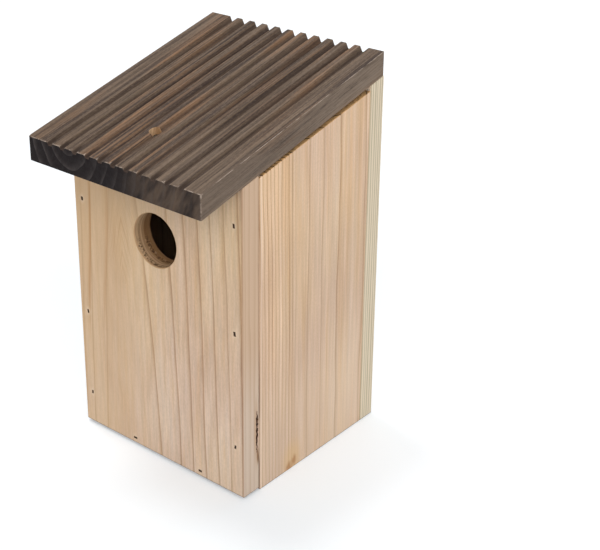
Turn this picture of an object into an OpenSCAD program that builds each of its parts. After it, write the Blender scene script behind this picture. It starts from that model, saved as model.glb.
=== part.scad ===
// Bird nest box: pine boards nailed together round a square cavity, under a grooved roof
// board. The roof is hinged at the back on a strip of woven webbing, stapled to its rear end
// and to the back panel, and one screw holds it shut on the front panel's top edge.
// The origin is the centre of the body's footprint on the ground. The front looks along -Y,
// +X is to the right as seen from the front, and +Z is up. Sizes are in millimetres.

/* [Body] */
// Width of the body, across the front
body_w = 140; // [110:1:240]
// Depth of the body, from the front panel's face to the back panel's face
body_d = 133; // [90:1:240]
// Height of the front panel's top edge above the ground, on its face
front_h = 208.5; // [140:0.5:340]
// Thickness of the front panel
front_t = 14.5; // [11:0.5:24]
// Thickness of the back panel
back_t = 13.5; // [12:0.5:24]
// Thickness of the two side panels
side_t = 14; // [11:0.5:24]
// Thickness of the floor panel
floor_t = 14; // [10:0.5:24]
// How far the front panel stops short of the ground
front_foot_gap = 1.8; // [0:0.1:4]
// Height of the slot between a side panel's top and the roof, at the front
vent_front = 2; // [0.5:0.1:10]
// Height of the same slot at the back
vent_rear = 3.5; // [0.5:0.1:10]

/* [Entrance] */
// Diameter of the entrance hole
entrance_d = 35; // [20:0.5:60]
// Height of the hole's centre below the front panel's top edge
entrance_drop = 53; // [40:1:90]

/* [Roof] */
// Slope of the roof, in degrees
roof_slope = 13.8; // [5:0.1:25]
// Thickness of the roof board, square to its faces
roof_t = 15.3; // [12:0.1:28]
// How far the roof stands out past each side of the body
roof_side_lap = 0.1; // [0:0.1:30]
// How far the roof stands out in front of the front panel
roof_overhang = 34; // [10:0.1:80]
// How far the roof's rear end stops short of the back panel's face
roof_rear_inset = 1.2; // [0:0.1:2]
// Distance between two grooves' centres
groove_pitch = 10.64; // [8:0.01:20]
// Width of a groove at the board's top face, at the roof's rear end
groove_top_w = 6.3; // [3:0.1:7]
// Width of a groove at its bottom
groove_bottom_w = 2.6; // [1:0.1:3]
// Depth of a groove at the roof's rear end
groove_depth = 3.7; // [1:0.1:4.5]
// Depth of a groove at the roof's front end, where it runs out shallower
groove_front_depth = 2; // [0.5:0.1:4.5]
// Least plain border beside the grooves, if the pattern were centred
groove_border = 13.5; // [5:0.1:30]
// How far the groove pattern lies to the right of the board's centre line
groove_shift = 2.2; // [-4:0.1:4]

/* [Roof screw] */
// Diameter of the screw's shank
screw_d = 3.5; // [2.5:0.1:4.5]
// Length of the screw under its head
screw_len = 20; // [14:0.5:26]
// Diameter of the screw's head
screw_head_d = 6.6; // [5.5:0.1:9]
// Height of the screw's head
screw_head_h = 2.4; // [1.5:0.1:3]
// How deep the head's top lies below the roof's top face
screw_sink = 4.5; // [3.8:0.1:6]
// Room round the head in its counterbore, on the diameter
screw_bore_room = 1; // [0.6:0.1:3]

/* [Webbing hinge] */
// Length of the webbing strip, along the hinge line
strap_len = 109; // [80:0.5:110]
// Width of the webbing strip
strap_w = 30; // [24:0.5:50]
// Thickness of the webbing
strap_t = 1.5; // [0.8:0.1:3]
// How far the strip lies to the right of the middle, as seen from the front
strap_shift = 1.8; // [-5:0.1:5]
// How far each end of the strip is cut off the square
strap_skew = 3; // [0:0.1:6]
// Width of a staple's crown
staple_w = 12.5; // [6:0.1:14]
// Thickness of a staple's wire
staple_wire = 0.8; // [0.5:0.1:1.2]
// Length of a staple's legs
staple_leg = 9; // [6:0.5:11]
// Distance from the strip's upper edge to the upper row of staples
staple_margin_top = 5; // [2:0.1:6]
// Distance from the strip's lower edge to the lower row of staples
staple_margin_bottom = 8.8; // [3:0.1:10]

/* [Hanger plate] */
// Width of the oval plate
plate_w = 29.6; // [28:0.1:34]
// Height of the oval plate
plate_h = 23.4; // [22.6:0.1:26]
// Thickness of the plate
plate_t = 1.5; // [0.8:0.1:3]
// Radius of the plate's rounded ends
plate_end_r = 8.2; // [6:0.1:10]
// Height of the plate's centre below the back panel's top edge
plate_drop = 45; // [32:0.5:70]
// How far the plate lies to the right of the middle, as seen from the front
plate_shift = -2.7; // [-10:0.1:10]
// Diameter of the keyhole's round part
keyhole_d = 7.6; // [5:0.1:9]
// Width of the keyhole's slot
keyhole_slot_w = 4; // [2:0.1:4.5]
// Distance from the round part's centre up to the centre of the slot's end
keyhole_rise = 6.5; // [5:0.1:7]
// Height of the round part's centre below the plate's centre
keyhole_drop = 2.2; // [1:0.1:3]
// Width of the pocket that is cut behind the keyhole
pocket_w = 14; // [11:0.1:15]
// Depth of that pocket
pocket_depth = 8; // [4:0.5:9]
// Distance of each plate screw from the plate's centre
plate_screw_reach = 9.8; // [9.4:0.1:10.5]
// Diameter of a plate screw's shank
plate_screw_d = 2.4; // [1.8:0.1:2.8]
// Diameter of a plate screw's head
plate_screw_head_d = 4.6; // [3.6:0.1:5.4]
// Height of a plate screw's head above the plate
plate_screw_head_h = 1.1; // [0.6:0.1:2]
// Length of a plate screw under its head
plate_screw_len = 11; // [8:0.5:12]

/* [Brads] */
// Length of a brad
brad_len = 30; // [22:1:40]
// Width and height of a brad's shank
brad_shank = 1.2; // [0.8:0.1:1.6]
// Height of a brad's head, which is as wide as its shank
brad_head = 2.2; // [1.6:0.1:3]
// Thickness of a brad's head
brad_head_t = 0.8; // [0.4:0.1:1.5]
// How deep the heads are set below the wood's face
brad_set = 0.8; // [0.2:0.1:2]
// Distance of the front panel's brads from its side edges
front_brad_inset = 6.6; // [3:0.1:9]
// Distance of the back panel's brads from its side edges
back_brad_inset = 3.2; // [2.2:0.1:9]
// Heights of the front panel's left brads, as shares of the panel's height
front_left_brad_at = [0.119, 0.412, 0.795]; // [0.03:0.001:0.9]
// Heights of the front panel's right brads, as shares of the panel's height
front_right_brad_at = [0.174, 0.549, 0.882]; // [0.03:0.001:0.9]
// Heights of the back panel's left brads, as shares of the panel's height
back_left_brad_at = [0.178, 0.392, 0.639, 0.911]; // [0.03:0.001:0.93]
// Heights of the back panel's right brads, as shares of the panel's height
back_right_brad_at = [0.055, 0.514, 0.785]; // [0.03:0.001:0.93]
// Places of the front panel's floor brads across the box, as shares of its width
front_floor_brad_at = [0.329, 0.74]; // [0.2:0.001:0.8]
// Places of the back panel's floor brads across the box, as shares of its width
back_floor_brad_at = [0.254, 0.721]; // [0.2:0.001:0.8]
// Height of the floor brads, as a share of the floor's thickness
floor_brad_rise = 0.4; // [0.35:0.01:0.7]
// How far the floor brads' heads are turned, in degrees: at 90 their long sides lie level
floor_brad_turn = 90; // [0:90:90]

/* [Hidden] */
$fn = 96;

// Room round each fastener in its hole, room between the closed roof and the panels' tops,
// and how far a cut runs past a face
fastener_room = 0.05;
seat_room = 0.1;
cut_over = 1;

// Colours
front_pine = [0.78, 0.65, 0.51];
back_pine = [0.88, 0.80, 0.68];
side_pine = [0.84, 0.72, 0.59];
floor_pine = [0.82, 0.70, 0.55];
stained_brown = [0.36, 0.30, 0.26];
webbing_green = [0.31, 0.45, 0.21];
zinc_grey = [0.50, 0.51, 0.53];
yellow_zinc = [0.68, 0.64, 0.50];
dark_steel = [0.20, 0.19, 0.19];

// Depths of the panels' faces, and the room between them
half_w = body_w / 2;
front_y = -body_d / 2;
back_y = body_d / 2;
inner_front_y = front_y + front_t;
inner_back_y = back_y - back_t;
inner_w = body_w - 2 * side_t;

// Heights of the panels' bevelled tops and of the roof's underside at depth y, and the roof
// board's plumb height and ends
function panel_top_z(y) = front_h + (y - front_y) * tan(roof_slope);
function underside_z(y) = panel_top_z(y) + seat_room;
roof_plumb_h = roof_t / cos(roof_slope);
roof_front_y = front_y - roof_overhang;
roof_rear_y = back_y - roof_rear_inset;
roof_w = body_w + 2 * roof_side_lap;

// The grooves: how many, how long, where along the slope their rear ends lie, and the angle at
// which their bottoms rise toward the front
groove_count = floor((roof_w - 2 * groove_border - groove_top_w) / groove_pitch) + 1;
groove_run = (roof_rear_y - roof_front_y) / cos(roof_slope);
roof_top_rear = groove_run - roof_overhang / cos(roof_slope) + roof_t * tan(roof_slope);
groove_rise = atan((groove_depth - groove_front_depth) / groove_run);

// The hinge line runs along X at the top of the back panel's face
hinge_z = underside_z(back_y);

// The roof screw crosses the roof's underside over the middle of the front panel. Its hole
// in the panel is wide enough for the arc that its tip takes as the roof swings up.
screw_slope_y = front_t / 2 / cos(roof_slope);
screw_head_bottom = roof_t - screw_sink - screw_head_h;
screw_tip_depth = screw_len - screw_head_bottom;
screw_point_h = 3;
screw_point_r = 0.4;
hinge_reach = (back_y + strap_t - front_y - front_t / 2) / cos(roof_slope);
swing_room = screw_tip_depth * screw_tip_depth / (2 * hinge_reach) + 0.15;

// The webbing's upper edge lies level with the grooves' bottoms
strap_joggle = 1;
strap_top_z = underside_z(roof_rear_y) + (roof_t - groove_depth) / cos(roof_slope);
strap_bottom_z = strap_top_z - strap_w;
roof_staple_z = strap_top_z - staple_margin_top;
back_staple_z = strap_bottom_z + staple_margin_bottom;

// Places of the staples along the strip, as shares of its length from its middle
roof_staple_at = [-0.295, -0.03, 0.35];
back_staple_at = [-0.355, 0.01, 0.35];

// The plate's centre, and the keyhole and its pocket round it
plate_z = hinge_z - plate_drop;
keyhole_z = plate_z - keyhole_drop;
keyhole_top_z = keyhole_z + keyhole_rise;

// Places of the brads, as [x, z]
function brads_up(x, shares, height) = [for (share = shares) [x, share * height]];
function brads_across(shares) = [for (share = shares) [(share - 0.5) * body_w, floor_brad_rise * floor_t]];
front_left_places = brads_up(front_brad_inset - half_w, front_left_brad_at, front_h);
front_right_places = brads_up(half_w - front_brad_inset, front_right_brad_at, front_h);
front_floor_places = brads_across(front_floor_brad_at);
back_left_places = brads_up(back_brad_inset - half_w, back_left_brad_at, hinge_z);
back_right_places = brads_up(half_w - back_brad_inset, back_right_brad_at, hinge_z);
back_floor_places = brads_across(back_floor_brad_at);

// A board centred on x, drawn from its outline in depth and height
module board(x, width, outline) {
    translate([x - width / 2, 0, 0])
        rotate([90, 0, 90])
            linear_extrude(width)
                polygon(outline);
}

// Extrudes an outline drawn in X and height, from depth y to y + thickness
module upright(y, thickness) {
    translate([0, y + thickness, 0])
        rotate([90, 0, 0])
            linear_extrude(thickness)
                children();
}

// A round bar or bore along Y, from depth y to y + length
module along_y(x, y, z, length, diameter) {
    translate([x, y + length, z])
        rotate([90, 0, 0])
            cylinder(h = length, d = diameter);
}

// The roof's own frame: +Y runs up the slope and +Z out of the board, from where the
// board's underside crosses the front panel's face
module on_roof() {
    translate([0, front_y, underside_z(front_y)])
        rotate([roof_slope, 0, 0])
            children();
}

// A brad, or its hole with room all round: the head's top is at the origin and the point
// runs along +Y. A hole also runs out past the wood's face by pit.
module brad(room = 0, pit = 0) {
    translate([-brad_shank / 2 - room, -pit, -brad_head / 2 - room])
        cube([brad_shank + 2 * room, brad_head_t + room + pit, brad_head + 2 * room]);
    translate([-brad_shank / 2 - room, 0, -brad_shank / 2 - room])
        cube([brad_shank + 2 * room, brad_len + room, brad_shank + 2 * room]);
}

module front_brads(places, turn = 0, room = 0, pit = 0) {
    for (place = places)
        translate([place[0], front_y + brad_set, place[1]])
            rotate([0, turn, 0])
                brad(room, pit);
}

module back_brads(places, turn = 0, room = 0, pit = 0) {
    for (place = places)
        translate([place[0], back_y - brad_set, place[1]])
            rotate([0, turn, 180])
                brad(room, pit);
}

module front_brad_holes(places, turn = 0) {
    front_brads(places, turn, fastener_room, brad_set + cut_over);
}

module back_brad_holes(places, turn = 0) {
    back_brads(places, turn, fastener_room, brad_set + cut_over);
}

// A staple, or its holes with room all round: the crown lies on depth y, outside it, and
// the legs run in along -Y
module staple(room = 0) {
    translate([-staple_w / 2 - room, 0, -staple_wire / 2 - room])
        cube([staple_w + 2 * room, staple_wire + room, staple_wire + 2 * room]);
    for (side = [-1, 1])
        translate([side * (staple_w - staple_wire) / 2, -staple_leg - room, 0])
            translate([-staple_wire / 2 - room, 0, -staple_wire / 2 - room])
                cube([staple_wire + 2 * room, staple_leg + 2 * room, staple_wire + 2 * room]);
}

module staple_row(shares, y, z, room = 0) {
    for (share = shares)
        translate([strap_shift + share * strap_len, y, z])
            staple(room);
}

module roof_staple_row(room = 0) {
    staple_row(roof_staple_at, roof_rear_y + strap_t, roof_staple_z, room);
}

module back_staple_row(room = 0) {
    staple_row(back_staple_at, back_y + strap_t, back_staple_z, room);
}

module entrance_hole() {
    along_y(0, front_y - cut_over, front_h - entrance_drop, front_t + 2 * cut_over, entrance_d);
}

// The hole for the roof screw's shank, from its point up to the height given
module screw_shank_hole(diameter, top) {
    on_roof()
        translate([0, screw_slope_y, -screw_tip_depth - cut_over])
            cylinder(h = screw_tip_depth + cut_over + top, d = diameter);
}

module front_panel() {
    color(front_pine)
        difference() {
            board(0, body_w, [
                [front_y, front_foot_gap],
                [inner_front_y, front_foot_gap],
                [inner_front_y, panel_top_z(inner_front_y)],
                [front_y, front_h]
            ]);
            entrance_hole();
            front_brad_holes(front_left_places);
            front_brad_holes(front_right_places);
            front_brad_holes(front_floor_places, floor_brad_turn);
            screw_shank_hole(screw_d + 2 * swing_room, cut_over);
        }
}

// The pocket behind the keyhole, where the head of the wall's screw slides up
module keyhole_pocket() {
    for (z = [keyhole_z, keyhole_top_z])
        along_y(plate_shift, back_y - pocket_depth, z, pocket_depth + cut_over, pocket_w);
    translate([plate_shift - pocket_w / 2, back_y - pocket_depth, keyhole_z])
        cube([pocket_w, pocket_depth + cut_over, keyhole_rise]);
}

module plate_screw_holes(y, length, diameter) {
    for (side = [-1, 1])
        along_y(plate_shift + side * plate_screw_reach, y, plate_z, length, diameter);
}

module back_panel() {
    color(back_pine)
        difference() {
            board(0, body_w, [
                [inner_back_y, 0],
                [back_y, 0],
                [back_y, panel_top_z(back_y)],
                [inner_back_y, panel_top_z(inner_back_y)]
            ]);
            keyhole_pocket();
            plate_screw_holes(
                back_y + plate_t - plate_screw_len - fastener_room,
                plate_screw_len + cut_over,
                plate_screw_d + 2 * fastener_room
            );
            back_brad_holes(back_left_places);
            back_brad_holes(back_right_places);
            back_brad_holes(back_floor_places, floor_brad_turn);
            back_staple_row(fastener_room);
        }
}

// A side panel stands between the front and back panels, and stops short of the roof
module side_panel(x) {
    board(x, side_t, [
        [inner_front_y, 0],
        [inner_back_y, 0],
        [inner_back_y, panel_top_z(inner_back_y) - vent_rear],
        [inner_front_y, panel_top_z(inner_front_y) - vent_front]
    ]);
}

module left_side_panel() {
    color(side_pine)
        difference() {
            side_panel(side_t / 2 - half_w);
            front_brad_holes(front_left_places);
            back_brad_holes(back_left_places);
        }
}

module right_side_panel() {
    color(side_pine)
        difference() {
            side_panel(half_w - side_t / 2);
            front_brad_holes(front_right_places);
            back_brad_holes(back_right_places);
        }
}

module floor_panel() {
    color(floor_pine)
        difference() {
            translate([-inner_w / 2, inner_front_y, 0])
                cube([inner_w, inner_back_y - inner_front_y, floor_t]);
            front_brad_holes(front_floor_places, floor_brad_turn);
            back_brad_holes(back_floor_places, floor_brad_turn);
        }
}

// One groove, cut along the whole slope of the roof's top face. Its bottom rises toward the
// front, so it is narrower there too.
module groove(x) {
    on_roof()
        translate([x, roof_top_rear, roof_t])
            rotate([90 - groove_rise, 0, 0])
                translate([0, 0, -roof_t])
                    linear_extrude(groove_run + 2 * roof_t)
                        polygon([
                            [-groove_top_w / 2, cut_over],
                            [-groove_top_w / 2, 0],
                            [-groove_bottom_w / 2, -groove_depth],
                            [groove_bottom_w / 2, -groove_depth],
                            [groove_top_w / 2, 0],
                            [groove_top_w / 2, cut_over]
                        ]);
}

module roof_board() {
    color(stained_brown)
        difference() {
            board(0, roof_w, [
                [roof_front_y, underside_z(roof_front_y)],
                [roof_rear_y, underside_z(roof_rear_y)],
                [roof_rear_y, underside_z(roof_rear_y) + roof_plumb_h],
                [roof_front_y, underside_z(roof_front_y) + roof_plumb_h]
            ]);
            for (i = [0 : groove_count - 1])
                groove(groove_shift + (i - (groove_count - 1) / 2) * groove_pitch);
            on_roof()
                translate([0, screw_slope_y, screw_head_bottom])
                    cylinder(h = roof_t, d = screw_head_d + screw_bore_room);
            screw_shank_hole(screw_d + 2 * fastener_room, screw_head_bottom + cut_over);
            roof_staple_row(fastener_room);
        }
}

// The screw stands square to the roof, its head in the counterbore
module roof_screw() {
    color(dark_steel)
        on_roof()
            translate([0, screw_slope_y, screw_head_bottom])
                rotate_extrude()
                    polygon([
                        [0, -screw_len],
                        [screw_point_r, -screw_len],
                        [screw_d / 2, screw_point_h - screw_len],
                        [screw_d / 2, 0],
                        [screw_head_d / 2, 0],
                        [screw_head_d / 2, screw_head_h / 2],
                        [screw_d / 2, screw_head_h],
                        [0, screw_head_h]
                    ]);
}

// The webbing lies flat on the back panel's face and on the roof's rear end
module hinge_strap() {
    color(webbing_green)
        difference() {
            intersection() {
                board(strap_shift, strap_len, [
                    [back_y, strap_bottom_z],
                    [back_y + strap_t, strap_bottom_z],
                    [back_y + strap_t, hinge_z],
                    [roof_rear_y + strap_t, hinge_z + strap_joggle],
                    [roof_rear_y + strap_t, strap_top_z],
                    [roof_rear_y, strap_top_z],
                    [roof_rear_y, hinge_z + strap_joggle],
                    [back_y, hinge_z]
                ]);
                upright(roof_rear_y - cut_over, roof_rear_inset + strap_t + 2 * cut_over)
                    polygon([
                        [strap_shift - strap_len / 2 + strap_skew, strap_bottom_z],
                        [strap_shift + strap_len / 2 - strap_skew / 2, strap_bottom_z],
                        [strap_shift + strap_len / 2, strap_top_z],
                        [strap_shift - strap_len / 2, strap_top_z]
                    ]);
            }
            roof_staple_row(fastener_room);
            back_staple_row(fastener_room);
        }
}

module roof_staples() {
    color(zinc_grey)
        roof_staple_row();
}

module back_staples() {
    color(zinc_grey)
        back_staple_row();
}

// An oval of four arcs: the ends turn on their own radius, and the upper and lower arcs
// meet them smoothly
module plate_outline() {
    end_x = plate_w / 2 - plate_end_r;
    rise = plate_h / 2;
    long_r = (end_x * end_x + rise * rise - plate_end_r * plate_end_r) / (2 * (rise - plate_end_r));
    long_drop = long_r - rise;
    meet_x = end_x / (long_r - plate_end_r) * long_r;
    for (side = [-1, 1])
        translate([side * end_x, 0])
            circle(r = plate_end_r);
    intersection() {
        translate([0, -long_drop])
            circle(r = long_r);
        translate([0, long_drop])
            circle(r = long_r);
        square([2 * meet_x, plate_h], center = true);
    }
}

module hanger_plate() {
    color(zinc_grey)
        difference() {
            upright(back_y, plate_t)
                translate([plate_shift, plate_z])
                    plate_outline();
            along_y(plate_shift, back_y - cut_over, keyhole_z, plate_t + 2 * cut_over, keyhole_d);
            along_y(plate_shift, back_y - cut_over, keyhole_top_z, plate_t + 2 * cut_over, keyhole_slot_w);
            translate([plate_shift - keyhole_slot_w / 2, back_y - cut_over, keyhole_z])
                cube([keyhole_slot_w, plate_t + 2 * cut_over, keyhole_rise]);
            plate_screw_holes(back_y - cut_over, plate_t + 2 * cut_over, plate_screw_d + 2 * fastener_room);
        }
}

module hanger_screws() {
    color(yellow_zinc)
        for (side = [-1, 1])
            translate([plate_shift + side * plate_screw_reach, back_y + plate_t, plate_z])
                rotate([-90, 0, 0])
                    rotate_extrude()
                        polygon([
                            [0, -plate_screw_len],
                            [plate_screw_d / 2, plate_screw_d - plate_screw_len],
                            [plate_screw_d / 2, 0],
                            [plate_screw_head_d / 2, 0],
                            [plate_screw_d / 2, plate_screw_head_h],
                            [0, plate_screw_head_h]
                        ]);
}

module front_left_brads() {
    color(dark_steel)
        front_brads(front_left_places);
}

module front_right_brads() {
    color(dark_steel)
        front_brads(front_right_places);
}

module front_floor_brads() {
    color(dark_steel)
        front_brads(front_floor_places, floor_brad_turn);
}

module back_left_brads() {
    color(dark_steel)
        back_brads(back_left_places);
}

module back_right_brads() {
    color(dark_steel)
        back_brads(back_right_places);
}

module back_floor_brads() {
    color(dark_steel)
        back_brads(back_floor_places, floor_brad_turn);
}

front_panel();
back_panel();
left_side_panel();
right_side_panel();
floor_panel();
roof_board();
hinge_strap();
roof_staples();
back_staples();
hanger_plate();
hanger_screws();
roof_screw();
front_left_brads();
front_right_brads();
front_floor_brads();
back_left_brads();
back_right_brads();
back_floor_brads();
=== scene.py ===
"""Nest box of pine boards with a grooved, stained roof that lifts on a strip of webbing."""

import math
import random

import bmesh
import bpy
from mathutils import Matrix, Vector, noise


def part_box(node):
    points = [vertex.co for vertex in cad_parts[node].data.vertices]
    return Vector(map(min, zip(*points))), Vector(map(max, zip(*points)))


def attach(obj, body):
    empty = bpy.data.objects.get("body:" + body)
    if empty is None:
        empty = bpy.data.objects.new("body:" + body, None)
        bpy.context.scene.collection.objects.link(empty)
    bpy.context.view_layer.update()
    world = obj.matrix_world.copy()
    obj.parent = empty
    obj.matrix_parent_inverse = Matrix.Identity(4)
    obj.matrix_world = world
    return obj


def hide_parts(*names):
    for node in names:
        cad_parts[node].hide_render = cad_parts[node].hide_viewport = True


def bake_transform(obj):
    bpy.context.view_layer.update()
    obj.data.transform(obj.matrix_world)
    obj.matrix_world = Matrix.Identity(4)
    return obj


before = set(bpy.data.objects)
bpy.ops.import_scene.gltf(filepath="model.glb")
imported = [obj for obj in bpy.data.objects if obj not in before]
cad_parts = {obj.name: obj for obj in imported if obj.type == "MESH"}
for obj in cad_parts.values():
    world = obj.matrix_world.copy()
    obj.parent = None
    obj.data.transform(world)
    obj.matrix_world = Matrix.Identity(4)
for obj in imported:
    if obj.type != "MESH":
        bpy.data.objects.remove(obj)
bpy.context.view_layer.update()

# The camera stands in front of the box, to its right and above its roof. The picture is shifted
# so that the box lies left of the middle and a little high in the frame.
picture_w, picture_h = 600, 550
focal_length = 1346.7        # in pixels of that picture
vanishing_centre = (215, 200)
camera_at = (0.5212, -0.5855, 0.4990)
camera_turn, camera_lift, camera_roll = 42.27, 23.36, -0.80        # degrees

bpy.ops.object.camera_add(
    location=camera_at,
    rotation=(math.radians(90 - camera_lift), 0, math.radians(camera_turn)),
)
camera = bpy.context.object
camera.rotation_euler.rotate_axis("Z", math.radians(camera_roll))
camera.data.lens = focal_length / picture_w * camera.data.sensor_width
camera.data.shift_x = (picture_w / 2 - vanishing_centre[0]) / picture_w
camera.data.shift_y = (vanishing_centre[1] - picture_h / 2) / picture_w
bpy.context.scene.camera = camera

# The floor panel is a plain pine board between the four walls, its grain running from side to
# side. It is sawn square and its edges are eased, and brads hold it through the front and back.
floor_low, floor_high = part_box("floor_panel")
eased_edge = 0.0007
inner_skin, ground_skin = 0.0002, 0.003        # how deep the inside faces' look goes
pine_light = (0.680, 0.500, 0.325)
pine_rose = (0.610, 0.425, 0.285)
pine_late = (0.330, 0.170, 0.070)
pine_end = (0.540, 0.310, 0.125)
pine_dull = (0.740, 0.580, 0.450)
warmer = (0.94, 0.87, 0.76)
# Painted shade for the faces inside the box.
inner_shade = (0.56, 0.50, 0.45)


def plug(tree, node, inputs):
    """Fills a node's inputs, each with a value or with the socket that feeds it."""
    for name, value in inputs.items():
        if isinstance(value, bpy.types.NodeSocket):
            tree.links.new(value, node.inputs[name])
        else:
            node.inputs[name].default_value = value
    return node


def feed(tree, kind, inputs=None, **settings):
    """Adds a shader node with these settings, and fills its inputs."""
    made = tree.nodes.new("ShaderNode" + kind)
    for name, value in settings.items():
        setattr(made, name, value)
    return plug(tree, made, inputs or {})


def calculate(tree, operation, *terms, clamp=False):
    """The result of a sum on numbers or sockets."""
    return feed(tree, "Math", dict(enumerate(terms)), operation=operation, use_clamp=clamp).outputs[0]


def times(tree, *shares):
    """The product of shares, each a number or a socket."""
    product = shares[0]
    for share in shares[1:]:
        product = calculate(tree, "MULTIPLY", product, share)
    return product


def combine(tree, operation, *places):
    """The result of a sum on places or directions: another one, a length or a dot product."""
    made = feed(tree, "VectorMath", dict(enumerate(places)), operation=operation)
    return made.outputs[1 if operation in ("LENGTH", "DOT_PRODUCT") else 0]


def sides_of(tree, place):
    """A place's X, Y and Z."""
    return feed(tree, "SeparateXYZ", {0: place}).outputs


def place_of(tree, x, y, z):
    """The place with this X, Y and Z."""
    return feed(tree, "CombineXYZ", {0: x, 1: y, 2: z}).outputs[0]


def leaned(tree, place, origin, angles):
    """A place as seen from an origin that leans by these angles about X, Y and Z."""
    inputs = {"Vector": place, "Location": origin, "Rotation": angles}
    return feed(tree, "Mapping", inputs, vector_type="TEXTURE").outputs[0]


def fade(tree, value, start, stop, first=0.0, last=1.0):
    """Turns a value smoothly from first to last between start and stop."""
    limits = {"Value": value, "From Min": start, "From Max": stop, "To Min": first, "To Max": last}
    return feed(tree, "MapRange", limits, interpolation_type="SMOOTHSTEP").outputs[0]


def tint(tree, share, under, over, how="MIX"):
    """Lays the colour over on the colour under, by a share."""
    colours = [(*c, 1) if isinstance(c, tuple) else c for c in (under, over)]
    inputs = {0: share, 6: colours[0], 7: colours[1]}
    return feed(tree, "Mix", inputs, data_type="RGBA", blend_type=how).outputs[2]


def coats(tree, colour, *layers):
    """Lays one colour after another on a colour. A layer is its share, its colour and, where it
    isn't plainly mixed in, how it is laid."""
    for share, *over in layers:
        colour = tint(tree, share, colour, *over)
    return colour


def shade(tree, colour, factor):
    """Darkens or lightens a colour by a factor."""
    return tint(tree, 1.0, colour, place_of(tree, factor, factor, factor), "MULTIPLY")


def grainy(tree, place, stretch, scale, detail=2.0, rough=0.5, seed=0.0, output=0):
    """Noise at a place, drawn out along each axis by the stretch given."""
    inputs = {"Vector": combine(tree, "MULTIPLY", place, stretch), "W": seed, "Scale": scale,
              "Detail": detail, "Roughness": rough}
    return feed(tree, "TexNoise", inputs, noise_dimensions="4D").outputs[output]


def open_group(name, inputs, outputs):
    """An empty shader node group, its input sockets by name, and its output node."""
    group = bpy.data.node_groups.new(name, "ShaderNodeTree")
    for label, kind in inputs.items():
        group.interface.new_socket(label, in_out="INPUT", socket_type="NodeSocket" + kind)
    for label in outputs:
        group.interface.new_socket(label, in_out="OUTPUT", socket_type="NodeSocketFloat")
    return group, group.nodes.new("NodeGroupInput").outputs, group.nodes.new("NodeGroupOutput")


# Growth rings round a trunk's pith, which runs along Z of the place given. Rings are wide near
# the pith and narrow past the turn. Late is the dark line that ends each year, and Line its width.
rings, ring_in, ring_out = open_group(
    "growth_rings",
    {"Place": "Vector", "Young ring": "Float", "Old ring": "Float", "Turn": "Float", "Lopsided": "Float",
     "Waver": "Float", "Tremble": "Float", "Line": "Float", "Seed": "Float"},
    ("Late", "Year", "Fibre", "Streak", "Cloud"),
)
trunk, seed = ring_in["Place"], ring_in["Seed"]
bent = trunk
for reach, stretch, scale in (("Waver", 0.22, 28), ("Tremble", 0.12, 170)):
    swayed = grainy(rings, trunk, (1, 1, stretch), scale, 2, 0.5, seed, "Color")
    swayed = combine(rings, "SUBTRACT", swayed, (0.5, 0.5, 0.5))
    bent = combine(rings, "ADD", bent, combine(rings, "MULTIPLY", swayed, ring_in[reach]))
bent_x, bent_y = sides_of(rings, bent)[:2]
left_of_pith = calculate(rings, "MINIMUM", bent_x, 0.0)
across = calculate(rings, "MULTIPLY_ADD", left_of_pith, ring_in["Lopsided"], bent_x)
radius = calculate(rings, "ADD", times(rings, across, across), times(rings, bent_y, bent_y))
radius = calculate(rings, "SQRT", radius)
slower = calculate(rings, "SUBTRACT", calculate(rings, "DIVIDE", 1.0, ring_in["Old ring"]),
                   calculate(rings, "DIVIDE", 1.0, ring_in["Young ring"]))
past_turn = calculate(rings, "MAXIMUM", calculate(rings, "SUBTRACT", radius, ring_in["Turn"]), 0.0)
years = calculate(rings, "DIVIDE", radius, ring_in["Young ring"])
years = calculate(rings, "ADD", years, times(rings, past_turn, slower))
season = calculate(rings, "FRACT", years)
which_year = calculate(rings, "ADD", calculate(rings, "FLOOR", years), seed)
year = feed(rings, "TexWhiteNoise", {"W": which_year}, noise_dimensions="1D").outputs["Value"]
young = calculate(rings, "LESS_THAN", radius, ring_in["Turn"])
ring_width = fade(rings, young, 0, 1, ring_in["Old ring"], ring_in["Young ring"])
late = calculate(rings, "POWER", season, calculate(rings, "DIVIDE", ring_width, ring_in["Line"]))
late = times(rings, late, fade(rings, season, 0.97, 1.0, 1.0, 0.0))
darker_year = calculate(rings, "MULTIPLY_ADD", year, 0.9, 0.9)
late = calculate(rings, "MULTIPLY", late, darker_year, clamp=True)
patterns = {
    "Late": late, "Year": year,
    "Fibre": grainy(rings, trunk, (1, 1, 0.022), 520, 4, 0.8, seed),
    "Streak": grainy(rings, trunk, (1, 1, 0.04), 170, 3, 0.6, seed),
    "Cloud": grainy(rings, trunk, (1, 1, 0.3), 26, 2, 0.5, seed),
}
for label, socket in patterns.items():
    rings.links.new(socket, ring_out.inputs[label])


def growth(young_ring, old_ring, turn, lopsided, waver, tremble, line):
    """How a trunk grew, as the inputs of its growth rings."""
    return {"Young ring": young_ring, "Old ring": old_ring, "Turn": turn, "Lopsided": lopsided,
            "Waver": waver, "Tremble": tremble, "Line": line}


def grown_in(tree, place, grown, seed):
    """The growth rings' patterns at a place in a trunk that grew in this way."""
    return feed(tree, "Group", {"Place": place, "Seed": seed, **grown}, node_tree=rings).outputs


def open_material(name):
    """A new material's node tree and its Principled BSDF."""
    material = bpy.data.materials.new(name)
    material.use_nodes = True
    return material, material.node_tree, material.node_tree.nodes["Principled BSDF"]


def dress(tree, shader, colour, rough, height, depth, strength=1.0, others=None):
    """Gives a surface its colour, its roughness, and a relief: a height from 0 to 1 times a depth
    in metres. others are the shader's other inputs."""
    relief = feed(tree, "Bump", {"Height": height, "Distance": depth, "Strength": strength})
    plug(tree, shader, {"Base Color": colour, "Roughness": rough, "Normal": relief.outputs[0],
                        **(others or {})})


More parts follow.
